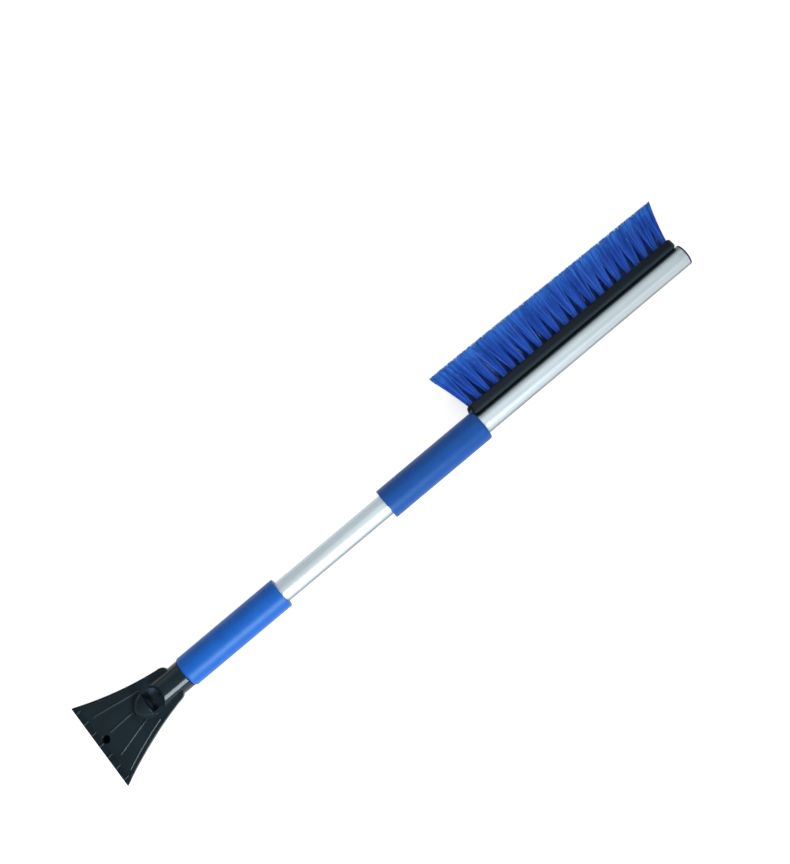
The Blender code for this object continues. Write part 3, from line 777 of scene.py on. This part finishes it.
class Tuft:
    """One tuft: its place and reach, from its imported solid, and the tints of its clumps."""

    def __init__(self, node, draw):
        self.row = ROWS[node.split("_")[1]]
        self.centre, self.radius, self.low, self.high = tuft_frame(node)
        if self.row is ROWS["front"]:
            self.low[2] -= ROW_OVERLAP
        else:
            self.high[2] += ROW_OVERLAP
        self.middle = (self.low + self.high) / 2
        self.half = (self.high - self.low) / 2
        self.reach = (TIP_REACH[0] + self.row.corner_reach, TIP_REACH[1] - FILAMENT_RADIUS)
        self.tint = draw.uniform(-0.1, 0.1) + self.row.tint
        self.clumps = [draw.gauss(0.0, CLUMP_TINT) for _ in range(CLUMPS)]

    def root(self, u, v):
        """A place in the tuft's hole, or beyond its sides in a row whose roots are spread."""
        x = self.centre[0] + u * self.radius * HOLE_FILL * self.row.root_spread
        return Vector((x, self.centre[1], self.centre[2] + v * self.radius * HOLE_FILL))

    def tip(self, u, v, draw):
        """A place on the trimmed tips, slightly below the line, and now and then well below it."""
        x = self.middle[0] + (u * TIP_OVERLAP + draw.uniform(-0.12, 0.12)) * self.half[0]
        x = folded(x, *self.reach)
        z = self.middle[2] + (v + draw.uniform(-0.06, 0.06)) * self.half[2]
        z = clamped(z, self.low[2] + 0.1 * MM, self.high[2] - 0.1 * MM)
        short = draw.uniform(0.1, 0.35) * MM
        if draw.random() < CUT_SHORT_SHARE:
            short += draw.uniform(1.0, 5.0) * MM
        return Vector((x, tip_height(x) - short, z))

    def point(self, start, end, bow, share):
        """The point at a share of a filament's length; it stays between the brush's slanted ends."""
        flared = (end - start) * (share**self.row.flare - share)
        flared.y = 0.0
        point = start.lerp(end, share) + flared + bow * math.sin(math.pi * share)
        first, last = (root + (tip - root) * share for root, tip in zip(ROOT_REACH, self.reach))
        point.x = clamped(point.x, first, last)
        return point

    def add_filament(self, strands, number, draw):
        """Adds one filament, from its root on a spiral to its tip, and its split ends."""
        distance = math.sqrt((number + 0.5) / self.row.filaments) * SPIRAL_FILL
        turn = number * GOLDEN_ANGLE + draw.uniform(-0.25, 0.25)
        u, v = distance * math.cos(turn), distance * math.sin(turn)
        spread_u, spread_v = disc_to_square(u, v)
        start = self.root(u, v)
        end = self.tip(spread_u, spread_v, draw)
        bow = Vector((draw.uniform(-1, 1), 0.0, draw.uniform(-1, 1))) * FILAMENT_BOW
        clump = self.clumps[int((spread_u + 1) / 2 * CLUMPS) % CLUMPS]
        tint = clamped(draw.gauss(0.5 + self.tint + clump, FILAMENT_TINT), 0.0, 1.0)
        split_from = SPLIT_FROM + draw.uniform(-0.08, 0.1)
        shares = (0.0, 0.1, 0.22, 0.45, 0.66, split_from, 1.0)
        path = [self.point(start, end, bow, share) for share in shares]
        radii = [FILAMENT_RADIUS * (1.0 - FILAMENT_TAPER * share) for share in shares]
        # The along values start at zero on the back row's roots, which the ramp paints in shade.
        values = [self.row.root_value + (1 - self.row.root_value) * share for share in shares]
        strands.add(path, radii, values, tint)
        shares = (split_from - 0.03, (split_from + 1) / 2, 1.0)
        for split in range(SPLITS):
            angle = 2 * math.pi * split / SPLITS + draw.uniform(0, 2)
            apart = Vector((math.cos(angle), 0.0, math.sin(angle))) * draw.uniform(0.2, 0.55) * MM
            path = [self.point(start, end, bow, share) for share in shares]
            path = [point + apart * part for point, part in zip(path, SPLIT_PARTING)]
            path[-1].x = folded(path[-1].x, *self.reach)
            path[-1].z = clamped(path[-1].z, self.low[2], self.high[2])
            strands.add(path, SPLIT_RADII, shares, tint)


def make_tuft(node, look, draw):
    """Replaces a packed tuft with its bundle of filaments."""
    tuft = Tuft(node, draw)
    strands = Strands()
    for number in range(tuft.row.filaments):
        tuft.add_filament(strands, number, draw)
    mesh = strands.mesh(node + "_bristles")
    add_piece(node + "_bristles", mesh, look, "blue_bristle", node)


# ------------------------------------------------------------------ studio


FLOOR_HALF_SIZE = 12.0
SKY_STRENGTH = 1.5
SKY_BY_HEIGHT = [(0.0, 0.45), (0.3, 0.5), (0.45, 1.0), (0.65, 0.8), (0.82, 0.3), (1.0, 0.2)]
SKY_BY_X = [(0.0, 0.3), (0.25, 0.45), (0.42, 1.0), (1.0, 1.0)]
SKY_BY_Y = [(0.0, 1.0), (0.5, 1.0), (0.75, 0.9), (1.0, 0.9)]
KEY_ANGLE = math.radians(48.0)
KEY_DISTANCE = 1.0
KEY_TARGET_X = SQUARE_ON_X - 0.22
KEY_X = KEY_TARGET_X - 0.08
KEY_SIZE = (0.5, 0.5)
KEY_POWER = 15.0
OVERHEAD_HEIGHT = 1.5
OVERHEAD_SIZE = (1.0, 1.4)
OVERHEAD_POWER = 6.5


def area_light(name, place, target, size, power):
    data = bpy.data.lights.new(name, "AREA")
    data.shape = "RECTANGLE"
    data.size, data.size_y = size
    data.energy = power
    light = bpy.data.objects.new(name, data)
    aim = (target - place).to_track_quat("-Z", "Y").to_matrix().to_4x4()
    light.matrix_world = Matrix.Translation(place) @ aim
    scene.collection.objects.link(light)


def make_lights():
    """A key light from below the pole in the view, near the lower grip, and a wide one overhead."""
    across, back = rolled_axes()
    toward = math.cos(KEY_ANGLE) * back - math.sin(KEY_ANGLE) * across
    target = Vector((KEY_TARGET_X, AXIS_Y, AXIS_Z))
    place = target + toward * KEY_DISTANCE
    place.x = KEY_X
    area_light("key", place, target, KEY_SIZE, KEY_POWER)
    target = Vector((0.2, 0.1, 0.0))
    place = target + Vector((0.0, 0.0, OVERHEAD_HEIGHT))
    area_light("overhead", place, target, OVERHEAD_SIZE, OVERHEAD_POWER)


def grey_ramp(tree, factor, stops):
    return colour_ramp(tree, factor, [(place, (level, level, level, 1.0)) for place, level in stops])


def make_sky():
    """A soft surround: brightest half-way up, darker overhead and beyond the scraper's end."""
    world = bpy.data.worlds.new("studio")
    world.use_nodes = True
    tree = world.node_tree
    direction = tree.nodes.new("ShaderNodeTexCoord").outputs["Generated"]
    split = tree.nodes.new("ShaderNodeSeparateXYZ")
    tree.links.new(direction, split.inputs["Vector"])
    level = grey_ramp(tree, split.outputs["Z"], SKY_BY_HEIGHT)
    for axis, stops in (("X", SKY_BY_X), ("Y", SKY_BY_Y)):
        shifted = tree.nodes.new("ShaderNodeMapRange")
        shifted.inputs["From Min"].default_value = -1.0
        tree.links.new(split.outputs[axis], shifted.inputs["Value"])
        product = tree.nodes.new("ShaderNodeVectorMath")
        product.operation = "MULTIPLY"
        tree.links.new(level, product.inputs[0])
        tree.links.new(grey_ramp(tree, shifted.outputs["Result"], stops), product.inputs[1])
        level = product.outputs["Vector"]
    background = tree.nodes["Background"]
    tree.links.new(level, background.inputs["Color"])
    background.inputs["Strength"].default_value = SKY_STRENGTH
    scene.world = world


def make_floor(look):
    mesh = bpy.data.meshes.new("floor")
    builder = bmesh.new()
    bmesh.ops.create_grid(builder, x_segments=8, y_segments=8, size=FLOOR_HALF_SIZE)
    builder.to_mesh(mesh)
    builder.free()
    mesh.materials.append(look)
    floor = bpy.data.objects.new("floor", mesh)
    scene.collection.objects.link(floor)


# ------------------------------------------------------------------ the broom

make_pole(aluminium_look())
foam = foam_look()
make_grip("lower_grip", GRIP_OUTER_RIM, GRIP_INNER_RIM, foam)
make_grip("upper_grip", GRIP_INNER_RIM, GRIP_OUTER_RIM, foam)
make_cap(cap_look())
make_scraper(scraper_look())
make_block(block_look())
bristle = bristle_look()
draws = random.Random(7)
for tuft_node in sorted(name for name in nodes if name.startswith("tuft_")):
    make_tuft(tuft_node, bristle, draws)
steel = steel_look()
for screw_node in sorted(name for name in nodes if "screw" in name):
    nodes[screw_node].data.materials.clear()
    nodes[screw_node].data.materials.append(steel)

make_camera()
make_sky()
make_lights()
make_floor(floor_look())
scene.view_settings.view_transform = "Standard"
